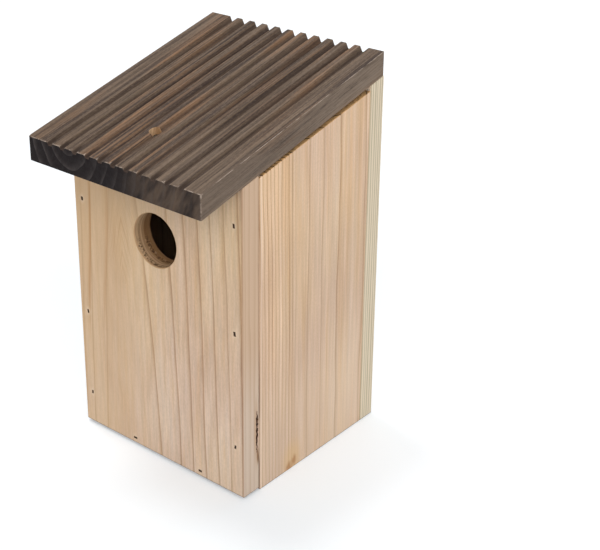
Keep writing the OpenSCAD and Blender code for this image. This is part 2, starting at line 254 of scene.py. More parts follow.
def end_grain(tree, at, board, tick, seed):
    """The colour of sawn end grain, with its years as ticks of this shade, and torn here and there."""
    tick_colour, torn_colour = [tuple(c * share for c in pine_end) for share in (tick, 0.3)]
    ticked = tint(tree, fade(tree, board["Late"], 0.15, 0.6), pine_end, tick_colour)
    torn = grainy(tree, at, (1, 1, 1), 420, 3, 0.6, seed)
    return tint(tree, fade(tree, torn, 0.5, 0.62, 0.0, 0.5), ticked, torn_colour)


def pine(name, pith, lean, grown, seed, light=pine_light, rose=pine_rose, late=pine_late, depth=0.75,
         grain=(0, 0, 1), extra=None, bow=0.0, band=(0.0, 1.0), tick=0.1):
    """Planed pine, with painted shade on its faces inside the box. The pith passes through a point,
    leaning by these degrees about X, Y and Z, and bows along Y. extra adds the board's marks, with
    any painted light and shade, to its colour. band sets where a year's dark part starts, and tick
    its shade on end grain."""
    material, tree, shader = open_material(name)
    place = feed(tree, "TexCoord").outputs
    at = place["Object"]
    x, y, z = sides_of(tree, at)
    bowed = combine(tree, "SUBTRACT", at, place_of(tree, 0.0, times(tree, z, z, bow), 0.0))
    leaning = leaned(tree, bowed, pith, [math.radians(angle) for angle in lean])
    board = grown_in(tree, leaning, grown, seed)
    colour = coats(
        tree, tint(tree, fade(tree, board["Cloud"], 0.35, 0.65), light, rose),
        (fade(tree, board["Streak"], 0.42, 0.70), warmer, "MULTIPLY"),
        (fade(tree, board["Streak"], 0.45, 0.28, 0.0, 0.3), pine_dull),
        (times(tree, fade(tree, board["Late"], *band), depth), late),
    )
    colour = shade(tree, colour, fade(tree, board["Fibre"], 0.3, 0.7, 0.85, 1.08))
    along = calculate(tree, "ABSOLUTE", combine(tree, "DOT_PRODUCT", place["Normal"], grain))
    end = times(tree, fade(tree, along, 0.55, 0.9), 0.9)
    colour = tint(tree, end, colour, end_grain(tree, at, board, tick, seed))
    pores = grainy(tree, at, (1, 1, 0.5), 1300, 2, 0.6, seed)
    colour = shade(tree, colour, fade(tree, pores, 0.3, 0.7, 0.95, 1.04))
    # Painted shade on the faces inside the box.
    inside = times(
        tree,
        calculate(tree, "LESS_THAN", calculate(tree, "ABSOLUTE", x), floor_high.x + inner_skin),
        calculate(tree, "LESS_THAN", y, floor_high.y + inner_skin),
        calculate(tree, "GREATER_THAN", y, floor_low.y - inner_skin),
        calculate(tree, "GREATER_THAN", z, ground_skin),
    )
    colour = tint(tree, inside, colour, inner_shade, "MULTIPLY")
    if extra:
        colour = extra(tree, place, colour, board)
    height = calculate(tree, "MULTIPLY_ADD", board["Fibre"], 0.7, times(tree, board["Late"], 0.3))
    dress(tree, shader, colour, fade(tree, board["Fibre"], 0.2, 0.8, 0.66, 0.52), height, 0.00022, 0.8,
          {"Specular IOR Level": 0.22})
    return material


def pick(piece, kind, wanted):
    """Selects the vertices, edges or faces of a mesh that pass a test, and nothing else."""
    bpy.ops.object.mode_set(mode="EDIT")
    bpy.ops.mesh.select_mode(type={"verts": "VERT", "edges": "EDGE", "faces": "FACE"}[kind])
    bpy.ops.mesh.select_all(action="DESELECT")
    mesh = bmesh.from_edit_mesh(piece.data)
    for part in getattr(mesh, kind):
        if wanted(part):
            part.select_set(True)
    mesh.select_flush_mode()
    bmesh.update_edit_mesh(piece.data)


def done(piece):
    """Leaves edit mode."""
    bpy.ops.object.mode_set(mode="OBJECT")
    return piece


def take(piece):
    """Makes a piece the only one selected, and the active one."""
    bpy.ops.object.select_all(action="DESELECT")
    piece.select_set(True)
    bpy.context.view_layer.objects.active = piece
    return piece


def add(name, data):
    """Puts a new object with this mesh or curve into the scene, and takes it."""
    made = bpy.data.objects.new(name, data)
    bpy.context.collection.objects.link(made)
    return take(made)


def apply_with(piece, kind, **settings):
    """Adds a modifier to a piece and applies it."""
    modifier = piece.modifiers.new(kind.title(), kind)
    for name, value in settings.items():
        setattr(modifier, name, value)
    bpy.context.view_layer.objects.active = piece
    bpy.ops.object.modifier_apply(modifier=modifier.name)
    return piece


def block(name, low, high):
    """A cube primitive that reaches from one corner to the other."""
    low, high = Vector(low), Vector(high)
    bpy.ops.object.select_all(action="DESELECT")
    bpy.ops.mesh.primitive_cube_add(size=1, location=(low + high) / 2)
    made = bpy.context.object
    made.name = made.data.name = name
    made.scale = high - low
    bpy.ops.object.transform_apply(location=True, rotation=True, scale=True)
    return made


def cut(piece, *cutters):
    """Takes cutters out of a piece, and clears them away."""
    for cutter in cutters:
        apply_with(piece, "BOOLEAN", operation="DIFFERENCE", solver="EXACT", material_mode="TRANSFER",
                   object=cutter)
        bpy.data.objects.remove(cutter)
    return piece


def copy_of(node, name):
    """A copy of a node's solids, their doubled points merged and their flat faces joined."""
    made = add(name, bpy.data.objects[node].data.copy())
    made.data.materials.clear()
    pick(made, "faces", lambda face: True)
    bpy.ops.mesh.remove_doubles(threshold=1e-6)
    bpy.ops.mesh.dissolve_limited(angle_limit=math.radians(1))
    bpy.ops.mesh.select_all(action="SELECT")
    bpy.ops.mesh.normals_make_consistent(inside=False)
    return done(made)


def bores(*nodes, room=0.0001):
    """Cutters as large as these nodes' solids and a little room round them."""
    made = []
    for node in nodes:
        cutter = apply_with(copy_of(node, node + "_bore"), "DISPLACE", strength=room, mid_level=0)
        cutter.data.materials.append(torn_pine)
        made.append(cutter)
    return made


def ease(piece, width=eased_edge, **settings):
    """Rounds every sharp edge a little, as planing and handling do."""
    return apply_with(piece, "BEVEL", width=width, segments=3, limit_method="ANGLE",
                      angle_limit=math.radians(30), **settings)


def finish(piece, slot, body, *nodes):
    """Welds and shades a piece, and puts it in place of its nodes. Its slot is not used."""
    pick(take(piece), "verts", lambda vertex: True)
    bpy.ops.mesh.remove_doubles(threshold=2e-7)
    done(piece)
    bpy.ops.object.shade_smooth_by_angle(angle=math.radians(40))
    apply_with(piece, "WEIGHTED_NORMAL", keep_sharp=True)
    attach(piece, body)
    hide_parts(*nodes)
    return piece


torn_pine, tree, shader = open_material("torn_pine")
torn = grainy(tree, feed(tree, "TexCoord").outputs["Object"], (1, 1, 0.35), 900, 4, 0.7)
torn_brown = tint(tree, fade(tree, torn, 0.35, 0.7), (0.035, 0.016, 0.008), (0.150, 0.080, 0.040))
dress(tree, shader, torn_brown, fade(tree, torn, 0.2, 0.8, 0.95, 0.7), torn, 0.0003)

floor_board = block("floor_board", floor_low, floor_high)
floor_board.data.materials.append(
    pine("floor_pine", (0.01, 0, 0.05), (0, 90, 0), growth(0.006, 0.004, 0.03, 0.2, 0.01, 0.0016, 0.0012),
         11, grain=(1, 0, 0))
)
cut(ease(floor_board), *bores("front_floor_brads", "back_floor_brads"))
finish(floor_board, "side_wood", "box", "floor_panel")

# The two side panels are pine boards with upright grain. Their tops are sawn on a slope and
# stop short of the roof, which leaves a slot for air along each side. The right one carries
# a small knot at its foot, and its front edge falls back a little there.
side_top_front = 0.21006
fallen_back = 0.0008
side_light = (0.672, 0.484, 0.322)
side_rose = (0.612, 0.433, 0.308)
foot_rose = (0.670, 0.500, 0.375)
# Painted contact shade along the boards' lowest edges.
contact_shade = (0.150, 0.105, 0.090)
joint_brown = (0.130, 0.062, 0.038)
# A painted highlight along the arris behind the joint.
arris_highlight = (0.800, 0.610, 0.470)
rear_orange = (0.420, 0.210, 0.060)
knot_halo = (0.640, 0.420, 0.200)
knot_brown = (0.400, 0.190, 0.070)


def away_from(tree, value, middle):
    """How far a value lies from a middle, to either side."""
    return calculate(tree, "ABSOLUTE", calculate(tree, "SUBTRACT", value, middle))


def spot(tree, place, centre, reach):
    """A soft spot: 1 at its centre, 0 past its reach along each axis."""
    away = combine(tree, "DIVIDE", combine(tree, "SUBTRACT", place, centre), reach)
    return fade(tree, combine(tree, "LENGTH", away), 0.25, 1.0, 1.0, 0.0)


def saw(piece, point, normal):
    """Saws off what lies past a plane, and closes the cut."""
    pick(piece, "faces", lambda face: True)
    square_to_it = Vector(normal).normalized()
    bpy.ops.mesh.bisect(plane_co=point, plane_no=square_to_it, use_fill=True, clear_outer=True)
    return done(piece)


def slide(piece, value, wanted):
    """Moves the points of a mesh that pass a test."""
    pick(piece, "verts", wanted)
    bpy.ops.transform.translate(value=value)
    return done(piece)


def panel(name, node, front_top, material):
    """A board as large as its node, its top sawn on a slope that starts at this height in front."""
    low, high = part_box(node)
    made = block(name, low, high)
    made.data.materials.append(material)
    return saw(made, (0, low.y, front_top), (0, front_top - high.z, high.y - low.y))


def pale_foot(tree, place, colour, board):
    """Paler and pinker wood toward a board's foot, and painted contact shade along its lowest edge."""
    z = sides_of(tree, place["Object"])[2]
    return coats(tree, colour, (fade(tree, z, 0.02, 0.17, 1.0, 0.0), (1.0, 1.01, 1.05), "MULTIPLY"),
                 (fade(tree, z, 0.02, 0.11, 0.3, 0.0), foot_rose),
                 # painted contact shade along the lowest edge
                 (fade(tree, z, 0.0004, 0.0011, 0.75, 0.0), contact_shade))


def right_marks(tree, place, colour, board):
    """The right panel's marks: yellower wood in front, a dark joint line along its front edge
    with a painted highlight on the arris behind it, a thin orange line at the back, and at its
    foot a knot of two soft brown hearts."""
    at = place["Object"]
    y, z = sides_of(tree, at)[1:]
    yellower = times(tree, fade(tree, y, -0.036, -0.020, 1.0, 0.0), fade(tree, z, 0.02, 0.12))
    joint = times(tree, fade(tree, z, 0.044, 0.056), fade(tree, z, 0.06, 0.12, 0.7, 0.25))
    joint = calculate(tree, "MAXIMUM", fade(tree, z, 0.018, 0.028, 1.0, 0.3), joint)
    joint = times(tree, joint, fade(tree, y, -0.0514, -0.0508, 1.0, 0.0))
    halo = spot(tree, at, (0.070, -0.0200, 0.007), (0.010, 0.013, 0.019))
    smudge = fade(tree, grainy(tree, at, (1, 1, 0.5), 420, 2, 0.5, 3), 0.35, 0.6, 0.35, 1.0)
    hearts = [spot(tree, at, (0.070, *centre), (0.010, size, size * 1.5))
              for centre, size in (((-0.0229, 0.0020), 0.0042), ((-0.0179, 0.0053), 0.0036))]
    return coats(
        tree, pale_foot(tree, place, colour, board),
        (yellower, (1.09, 1.05, 1.00), "MULTIPLY"),
        (fade(tree, z, 0.14, 0.19), (1.08, 1.08, 1.07), "MULTIPLY"),
        (fade(tree, z, 0.10, 0.04), (1.03, 1.05, 1.05), "MULTIPLY"),
        (joint, joint_brown),
        # painted highlight along the arris
        (fade(tree, away_from(tree, y, -0.0499), 0.0002, 0.0009, 0.55, 0.0), arris_highlight),
        (fade(tree, y, 0.0514, 0.0526, 0.0, 0.5), rear_orange),
        (times(tree, halo, 0.55), knot_halo),
        *[(times(tree, heart, smudge, 0.75), knot_brown) for heart in hearts],
    )


left_panel = panel(
    "left_panel", "left_side_panel", side_top_front,
    pine("left_pine", (-0.052, 0.020, 0), (1.5, 0, 0),
         growth(0.0105, 0.0038, 0.050, 0.1, 0.008, 0.0013, 0.0011),
         23, side_light, side_rose, extra=pale_foot),
)
cut(ease(left_panel), *bores("front_left_brads", "back_left_brads"))
finish(left_panel, "side_wood", "box", "left_side_panel")

right_panel = panel(
    "right_panel", "right_side_panel", side_top_front,
    pine("right_pine", (0.050, 0.038, 0), (0.6, 0, 0),
         growth(0.0119, 0.0031, 0.0585, 0.1, 0.006, 0.0010, 0.0008),
         31, side_light, side_rose, depth=0.62, extra=right_marks),
)
slide(right_panel, (0, fallen_back, 0), lambda vertex: vertex.co.y < 0 and vertex.co.z < 0.01)
cut(ease(right_panel), *bores("front_right_brads", "back_right_brads"))
finish(right_panel, "side_wood", "box", "right_side_panel")

# The front panel is a wider pine board that covers the side panels' edges. The entrance is
# drilled through it, brads with sunken heads hold it, and a bark pocket runs in its right edge.
front_top = 0.2085
entrance_radius, entrance_height = 0.0175, 0.1555
front_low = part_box("front_panel")[0]
front_brads = ("front_left_brads", "front_right_brads", "front_floor_brads")
pit_room, pit_rise, pit_torn = 0.0001, 0.0006, 0.00012
slit_low, slit_high = (0.0684, -0.0549, 0.040), (0.0706, -0.0532, 0.052)
# Painted shade under the roof's overhang.
under_roof_shade = (0.520, 0.350, 0.215)
round_slit = (0.440, 0.270, 0.160)
left_yellow = (0.560, 0.375, 0.205)
band_brown = (0.430, 0.225, 0.085)
fibre_brown = (0.430, 0.240, 0.105)
# Lighter paint that eases the painted shade under the roof in the upper left corner.
eased_shade_orange = (0.760, 0.500, 0.280)
arris_brown = (0.230, 0.110, 0.050)
slit_tail = (0.220, 0.110, 0.040)
pale_flake = (0.760, 0.540, 0.400)
bruised = (0.720, 0.560, 0.400)


def solids_of(node):
    """The lowest and highest corner of each separate solid of a node."""
    solids, mesh = [], bmesh.new()
    mesh.from_mesh(bpy.data.objects[node].data)
    bmesh.ops.remove_doubles(mesh, verts=mesh.verts, dist=1e-6)
    left = set(mesh.verts)
    while left:
        found, edge = set(), [left.pop()]
        while edge:
            vertex = edge.pop()
            found.add(vertex)
            for link in vertex.link_edges:
                other = link.other_vert(vertex)
                if other in left:
                    left.remove(other)
                    edge.append(other)
        corners = [[vertex.co[axis] for vertex in found] for axis in range(3)]
        solids.append((Vector(map(min, corners)), Vector(map(max, corners))))
    mesh.free()
    return sorted(solids, key=lambda solid: (solid[0].z, solid[0].x))


def standing(point, axis):
    """The move that takes what stands on the origin along Z to a point, along an axis."""
    upright = Vector((0, 0, 1)).rotation_difference(Vector(axis)).to_matrix().to_4x4()
    return Matrix.Translation(point) @ upright


def turned(name, profile, point=(0, 0, 0), axis=(0, 0, 1), steps=64):
    """Spins a profile of (radius, height) pairs round an axis that starts at a point."""
    mesh = bpy.data.meshes.new(name)
    mesh.from_pydata([(r, 0, h) for r, h in profile], [(i, i + 1) for i in range(len(profile) - 1)], [])
    made = add(name, mesh)
    pick(made, "edges", lambda edge: True)
    bpy.ops.mesh.spin(steps=steps, angle=math.tau, center=(0, 0, 0), axis=(0, 0, 1))
    bpy.ops.mesh.select_all(action="SELECT")
    bpy.ops.mesh.remove_doubles(threshold=1e-6)
    bpy.ops.mesh.normals_make_consistent(inside=False)
    done(made)
    mesh.transform(standing(point, axis))
    return made


def roughen(piece, amount, fineness, seed):
    """Pushes every point of a piece about by noise."""
    for vertex in piece.data.vertices:
        at = vertex.co * fineness
        vertex.co += amount * Vector([noise.noise(at + Vector((seed, 0, step))) for step in (0, 20, 40)])
    return piece


def brad_pits(nodes, face, outward, seed):
    """Cutters for the pits that sunken heads leave below a face, each torn and a little askew."""
    chance, made = random.Random(seed), []
    for low, high in (solid for node in nodes for solid in solids_of(node)):
        middle = (low + high) / 2
        head = low.y if outward < 0 else high.y
        pit = block("brad_pit", (low.x - pit_room, min(head, face), low.z - pit_room),
                    (high.x + pit_room, max(head, face), high.z + pit_room))
        pick(pit, "faces", lambda f: f.normal.y * outward > 0.9)
        widen = (chance.uniform(1.0, 1.35), 1, chance.uniform(1.0, 1.35))
        bpy.ops.transform.resize(value=widen, center_override=(middle.x, face, middle.z))
        bpy.ops.mesh.extrude_region_move(TRANSFORM_OT_translate={"value": (0, outward * pit_rise, 0)})
        bpy.ops.mesh.select_all(action="SELECT")
        bpy.ops.transform.rotate(value=math.radians(chance.uniform(-14, 14)), orient_axis="Y",
                                 center_override=tuple(middle))
        bpy.ops.mesh.subdivide(number_cuts=2)
        bpy.ops.mesh.quads_convert_to_tris()
        roughen(done(pit), pit_torn, 900, chance.random())
        pit.data.materials.append(torn_pine)
        made.append(pit)
    return made


def lined_edges(tree, at, colour, pitch, ground, line, amount, seed):
    """Fine upright lines, a pitch apart, on the two long edges of a front or back board."""
    x, y = sides_of(tree, at)[:2]
    sway = grainy(tree, at, (1, 1, 0.03), 300, 2, 0.5, seed)
    across = calculate(tree, "MULTIPLY_ADD", sway, pitch * 1.2, y)
    season = calculate(tree, "FRACT", calculate(tree, "DIVIDE", across, pitch))
    lines = times(tree, calculate(tree, "POWER", season, 3.0), fade(tree, season, 0.94, 1.0, 1, 0), amount)
    edge = fade(tree, calculate(tree, "ABSOLUTE", x), 0.0692, 0.0699)
    return tint(tree, edge, colour, tint(tree, lines, ground, line))


def front_marks(tree, place, colour, board):
    """The front board's marks: a painted sheen that whitens it toward the foot, painted shade under
    the roof, a yellower left part with two soft brown bands, fibre that falls away from a peak
    left of the entrance, a warmer upper left corner where the painted shade is eased with lighter
    paint, a dark right arris, darker wood and a pale flake by the bark, painted contact shade along
    the foot, and bruised wood round each brad."""
    at = place["Object"]
    x, y, z = sides_of(tree, at)
    # How much painted shade falls under the roof, less of it toward the right.
    upper = times(tree, fade(tree, z, 0.10, 0.19, 0.0, 0.40), fade(tree, x, -0.01, 0.03, 1, 0.2))
    # A painted sheen whitens the wood toward the foot, and painted shade darkens it under the roof.
    colour = coats(tree, colour, (fade(tree, z, 0.02, 0.17, 1.0, 0.0), (1.01, 1.05, 1.20), "MULTIPLY"),
                   (upper, under_roof_shade))
    edge_colour = tint(tree, fade(tree, z, 0.04, 0.12), (0.598, 0.472, 0.370), (0.565, 0.394, 0.268))
    colour = lined_edges(tree, at, colour, 0.0041, edge_colour, pine_late, 0.35, 17)
    dark_wood = spot(tree, at, (0.070, -0.0548, 0.043), (0.004, 0.0030, 0.034))
    layers = [(times(tree, dark_wood, 0.7), round_slit),
              (fade(tree, x, -0.040, 0.010, 0.50, 0.0), left_yellow)]
    for foot, top, wide, share in ((-0.0620, -0.0555, 0.0030, 0.85), (-0.0485, -0.0398, 0.0040, 0.45)):
        short_of = calculate(tree, "SUBTRACT", fade(tree, z, 0.06, 0.18, foot, top), x)
        band = times(tree, fade(tree, short_of, -0.0002, 0.0002), fade(tree, short_of, 0.0, wide, 1, 0),
                     fade(tree, z, 0.05, 0.11), share)
        layers.append((band, band_brown))
    fall = calculate(tree, "MULTIPLY_ADD", away_from(tree, x, -0.0290), 3.2, z)
    fall = calculate(tree, "MULTIPLY_ADD", board["Cloud"], 0.060, fall)
    fibre = grainy(tree, place_of(tree, fall, x, 0.0), (1, 0.12, 1), 260, 3, 0.6, 8)
    near_peak = spot(tree, at, (-0.0290, front_low.y, 0.150), (0.017, 0.02, 0.040))
    # Where the painted shade under the roof is eased with lighter paint.
    corner = times(tree, fade(tree, x, -0.030, -0.050), fade(tree, z, 0.165, 0.190), 0.5)
    high_up = times(tree, fade(tree, x, 0.0655, 0.0698), fade(tree, z, 0.15, 0.20))
    arris = calculate(tree, "MAXIMUM", high_up, fade(tree, x, 0.0684, 0.0692, 0.0, 0.8))
    forward = fade(tree, sides_of(tree, place["Normal"])[1], -0.6, -0.2, 1.0, 0.0)
    tail = spot(tree, at, (0.070, -0.0532, 0.0265), (0.004, 0.0014, 0.0085))
    flake = spot(tree, at, (0.070, -0.0524, 0.040), (0.004, 0.0013, 0.0170))
    layers += [
        (times(tree, near_peak, fade(tree, fibre, 0.40, 0.65, 0.0, 0.50)), fibre_brown),
        (corner, eased_shade_orange), (times(tree, arris, forward, 0.55), arris_brown),
        (times(tree, tail, 0.95), slit_tail), (times(tree, flake, 0.9), pale_flake),
        # painted contact shade along the foot
        (fade(tree, z, 0.0022, 0.0029, 0.75, 0.0), contact_shade),
    ]
    for low, high in (solid for node in front_brads for solid in solids_of(node)):
        head = (low + high) / 2
        bruise = spot(tree, at, (head.x, front_low.y, head.z), (0.0034, 0.01, 0.0048))
        layers.append((times(tree, bruise, 0.35), bruised))
    return coats(tree, colour, *layers)


# Drilled pine has tool marks round the hole, and low down it is pitted and chipped in two rows.
drilled_pine, tree, shader = open_material("drilled_pine")
at = feed(tree, "TexCoord").outputs["Object"]
depth, up = sides_of(tree, at)[1:]
tool_marks = grainy(tree, at, (0.03, 1, 0.03), 900, 3, 0.6)
specks = grainy(tree, at, (1, 0.7, 1), 700, 3, 0.75)
wall = tint(tree, fade(tree, depth, -0.0615, -0.0575), (0.540, 0.350, 0.195), (0.300, 0.155, 0.062))
layers = [(fade(tree, tool_marks, 0.42, 0.62, 0.0, 0.6), (0.200, 0.098, 0.036)),
          (fade(tree, tool_marks, 0.44, 0.32, 0.0, 0.3), (0.560, 0.360, 0.190))]
low_part = fade(tree, up, 0.146, 0.154, 1.0, 0.0)
for row in (-0.0640, -0.0572):
    pitted = times(tree, fade(tree, away_from(tree, depth, row), 0.0008, 0.0022, 1.0, 0.0), low_part)
    layers += [(times(tree, fade(tree, specks, 0.50, 0.56), pitted, 0.8), (0.065, 0.030, 0.012)),
               (times(tree, fade(tree, specks, 0.44, 0.38), pitted, 0.5), (0.700, 0.500, 0.300))]
layers.append((fade(tree, depth, -0.0662, -0.0655, 0.5, 0.0), (0.420, 0.240, 0.110)))
dress(tree, shader, coats(tree, wall, *layers), 0.8, specks, 0.0004, 0.7)

bark, tree, shader = open_material("bark")
flakes = grainy(tree, feed(tree, "TexCoord").outputs["Object"], (1, 1, 0.25), 1100, 4, 0.7)
dark_bark = tint(tree, fade(tree, flakes, 0.4, 0.6), (0.024, 0.008, 0.003), (0.150, 0.060, 0.022))
flaked = tint(tree, fade(tree, flakes, 0.64, 0.70), dark_bark, (0.380, 0.230, 0.130))
dress(tree, shader, flaked, 0.9, flakes, 0.0006)

front_board = panel(
    "front_board", "front_panel", front_top,
    pine("front_pine", (-0.029, -0.0375, 0.002), (-3.1, 0, 0),
         growth(0.0139, 0.0096, 0.0556, 0.44, 0.005, 0.0008, 0.0012),
         5, depth=0.68, extra=front_marks),
)
ease(front_board)

# The cutter flares at both faces, which rounds the rim, and its side is as rough as drilled pine.
drill = [(0, -0.0010), (0.0183, -0.0010), (0.0183, -0.0002), (0.0180, 0.0000), (0.0177, 0.0003)]
drill += [(entrance_radius, 0.0007 + 0.00055 * i) for i in range(24)]
drill += [(0.0177, 0.0142), (0.0180, 0.0145), (0.0180, 0.0155), (0, 0.0155)]
entrance = turned("entrance", drill, (0, front_low.y, entrance_height), (0, 1, 0), 144)
for vertex in entrance.data.vertices:
    spoke = Vector((vertex.co.x, 0, vertex.co.z - entrance_height))
    if spoke.length > 0.01:
        across_grain = abs(spoke.normalized().z)
        marks = 0.00007 * noise.noise(Vector((0, vertex.co.y * 1100, spoke.x * 30)))
        torn_bits = noise.noise(vertex.co * 600) * (0.00006 + 0.0001 * across_grain)
        vertex.co += spoke.normalized() * (marks + torn_bits)
entrance.data.materials.append(drilled_pine)
cut(front_board, entrance)

# The bark pocket's cutter tapers off above and below, and its sides are ragged.
slit = block("bark_slit", slit_low, slit_high)
for height in (-0.011, 0.0065):
    pick(slit, "faces", lambda face: face.normal.z * height > 0.9 * abs(height))
    bpy.ops.mesh.extrude_region_move(TRANSFORM_OT_translate={"value": (0, 0, height)})
    bpy.ops.transform.resize(value=(1, 0.3, 1), center_override=(0.0706, -0.0542, 0))
bpy.ops.mesh.select_all(action="SELECT")
bpy.ops.mesh.subdivide(number_cuts=15)
bpy.ops.mesh.quads_convert_to_tris()
done(slit)
for vertex in slit.data.vertices:
    ragged = noise.noise(Vector((vertex.co.x * 150, vertex.co.y * 700, vertex.co.z * 1000)))
    vertex.co.y += 0.0007 * ragged
slit.data.materials.append(bark)
cut(front_board, slit)

cut(front_board, *bores(*front_brads), *brad_pits(front_brads, front_low.y, -1, 4))
cut(front_board, *bores("roof_screw", room=0.0006))
finish(front_board, "front_wood", "box", "front_panel")

# The back panel is a cream pine board with bold cathedral grain. A pocket behind the hanger
# plate takes the head of the wall's screw, and brads hold the panel to the sides and floor.
back_front_top = 0.23785
back_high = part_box("back_panel")[1]
back_brads = ("back_left_brads", "back_right_brads", "back_floor_brads")
pocket_width, pocket_depth, pocket_rise = 0.014, 0.008, 0.0065
past_face = 0.001        # how far a cutter reaches past a face
keyhole_at = Vector((-0.0027, 0.0665, 0.194068))
back_light = (0.870, 0.745, 0.610)
back_rose = (0.850, 0.715, 0.585)
back_late = (0.735, 0.495, 0.298)
back_edge = (0.690, 0.585, 0.435)
back_edge_line = (0.250, 0.195, 0.100)


def back_marks(tree, place, colour, board):
    """The back board's marks: paler flanks with narrower lines, close lines on its long
    edges, and painted contact shade along its foot."""
    x, y, z = sides_of(tree, place["Object"])
    flank = fade(tree, away_from(tree, x, 0.001), 0.016, 0.034)
    between = times(tree, flank, fade(tree, board["Late"], 0.40, 0.85, 0.9, 0.0))
    colour = tint(tree, between, colour, back_light)
    colour = lined_edges(tree, place["Object"], colour, 0.0023, back_edge, back_edge_line, 1.0, 21)
    # Painted contact shade along the foot.
    return tint(tree, fade(tree, z, 0.0004, 0.0011, 0.75, 0.0), colour, contact_shade)


back_board = panel(
    "back_board", "back_panel", back_front_top,
    pine("back_pine", (0.0054, 0.06616, 0), (14.8, -1.3, 0),
         growth(0.0106, 0.0068, 0.034, 0.06, 0.006, 0.0035, 0.0060),
         47, back_light, back_rose, back_late, 0.8, extra=back_marks, bow=0.515, band=(0.12, 0.5), tick=0.45),
)
ease(back_board)
half = pocket_width / 2
pocket = block("pocket", keyhole_at - Vector((half, pocket_depth, 0)),
               keyhole_at + Vector((half, past_face, pocket_rise)))
profile = [(0, -pocket_depth), (half, -pocket_depth), (half, past_face), (0, past_face)]
rounds = [turned("pocket_end", profile, keyhole_at + Vector((0, 0, rise)), (0, 1, 0))
          for rise in (0, pocket_rise)]
for cutter in (pocket, *rounds):
    cutter.data.materials.append(torn_pine)
cut(back_board, pocket, *rounds)
cut(back_board, *bores(*back_brads, "hanger_screws", "back_staples"),
    *brad_pits(back_brads, back_high.y, 1, 9))
finish(back_board, "back_wood", "box", "back_panel")

# The brads are thin steel wire nails with small T-shaped heads, sunk below the wood's face.
brad_steel, tree, shader = open_material("brad_steel")
tarnish = grainy(tree, feed(tree, "TexCoord").outputs["Object"], (1, 1, 1), 1500, 3, 0.6)
tarnished = tint(tree, fade(tree, tarnish, 0.35, 0.65), (0.030, 0.027, 0.026), (0.110, 0.095, 0.085))
dress(tree, shader, tarnished, fade(tree, tarnish, 0.3, 0.7, 0.6, 0.35), tarnish, 0.00005, 1.0,
      {"Metallic": 0.8})
for node in front_brads + back_brads:
    brads = bpy.data.objects[node]
    brads.data.materials.clear()
    brads.data.materials.append(brad_steel)

# The hanger plate is an oval pressed from zinc-plated steel, with a keyhole and a softened rim.
# It lies over the pocket, and two screws hold it.
plate_rim = 0.0004


def metal(name, dark, light, fineness, rough, scratch=(1, 1, 1), seed=0.0):
    """Plated steel, mottled between two colours, with fine scratches along one way."""
    material, tree, shader = open_material(name)
    at = feed(tree, "TexCoord").outputs["Object"]
    mottle = grainy(tree, at, (1, 1, 1), fineness, 3, 0.6, seed)
    fine = grainy(tree, at, scratch, fineness * 5, 2, 0.6, seed)
    rough_patch = fade(tree, calculate(tree, "ADD", mottle, times(tree, fine, 0.3)), 0.4, 0.9, *rough)
    dress(tree, shader, tint(tree, fade(tree, mottle, 0.35, 0.65), dark, light), rough_patch,
          fine, 0.00003, 0.6, {"Metallic": 1.0})
    return material


plate = copy_of("hanger_plate", "oval_plate")
zinc_dark, zinc_light = (0.120, 0.120, 0.122), (0.300, 0.300, 0.305)
plate.data.materials.append(metal("zinc_plate", zinc_dark, zinc_light, 240, (0.34, 0.55), (1, 1, 0.05), 3.0))
ease(plate, plate_rim)
finish(plate, "plate_steel", "box", "hanger_plate")

# Two small yellow-plated screws hold the hanger plate. Their domed heads carry a cross recess.
plate_screw_radius, plate_screw_head, plate_screw_dome = 0.0012, 0.0023, 0.0011
plate_screw_length = 0.011
recess_turn, recess_taper = math.radians(20), 0.45
yellow_dark, yellow_light = (0.330, 0.270, 0.160), (0.520, 0.450, 0.310)


def cross_recess(point, axis, across, deep, wide):
    """Cutters for a cross recess that opens along an axis from a point."""
    made = []
    for long_x, long_y in ((across, wide), (wide, across)):
        arm = block("recess", (-long_x / 2, -long_y / 2, -deep), (long_x / 2, long_y / 2, past_face))
        pick(arm, "verts", lambda vertex: vertex.co.z < 0)
        bpy.ops.transform.resize(value=(recess_taper, recess_taper, 1), center_override=(0, 0, 0))
        done(arm)
        arm.data.transform(standing(point, axis) @ Matrix.Rotation(recess_turn, 4, "Z"))
        made.append(arm)
    return made


yellow_zinc = metal("yellow_zinc_plating", yellow_dark, yellow_light, 700, (0.25, 0.4), seed=5.0)
for number, (low, high) in enumerate(solids_of("hanger_screws")):
    head_at = Vector(((low.x + high.x) / 2, high.y - plate_screw_dome, (low.z + high.z) / 2))
    tip = -plate_screw_length
    profile = [(0, tip), (plate_screw_radius, 2 * plate_screw_radius + tip)]
    profile += [(plate_screw_radius, -0.0002), (plate_screw_head * 0.97, 0)]
    for step in range(1, 9):
        turn = math.radians(90 * step / 8)
        profile.append((plate_screw_head * math.cos(turn), plate_screw_dome * math.sin(turn)))
    profile[-1] = (0, plate_screw_dome)
    screw = turned(f"plate_screw_{number + 1}", profile, head_at, (0, 1, 0), 48)
    screw.data.materials.append(yellow_zinc)
    head_top = head_at + Vector((0, plate_screw_dome, 0))
    cut(screw, *cross_recess(head_top, (0, 1, 0), 0.0025, 0.0009, 0.0006))
    finish(screw, "yellow_zinc", "box", "hanger_screws")

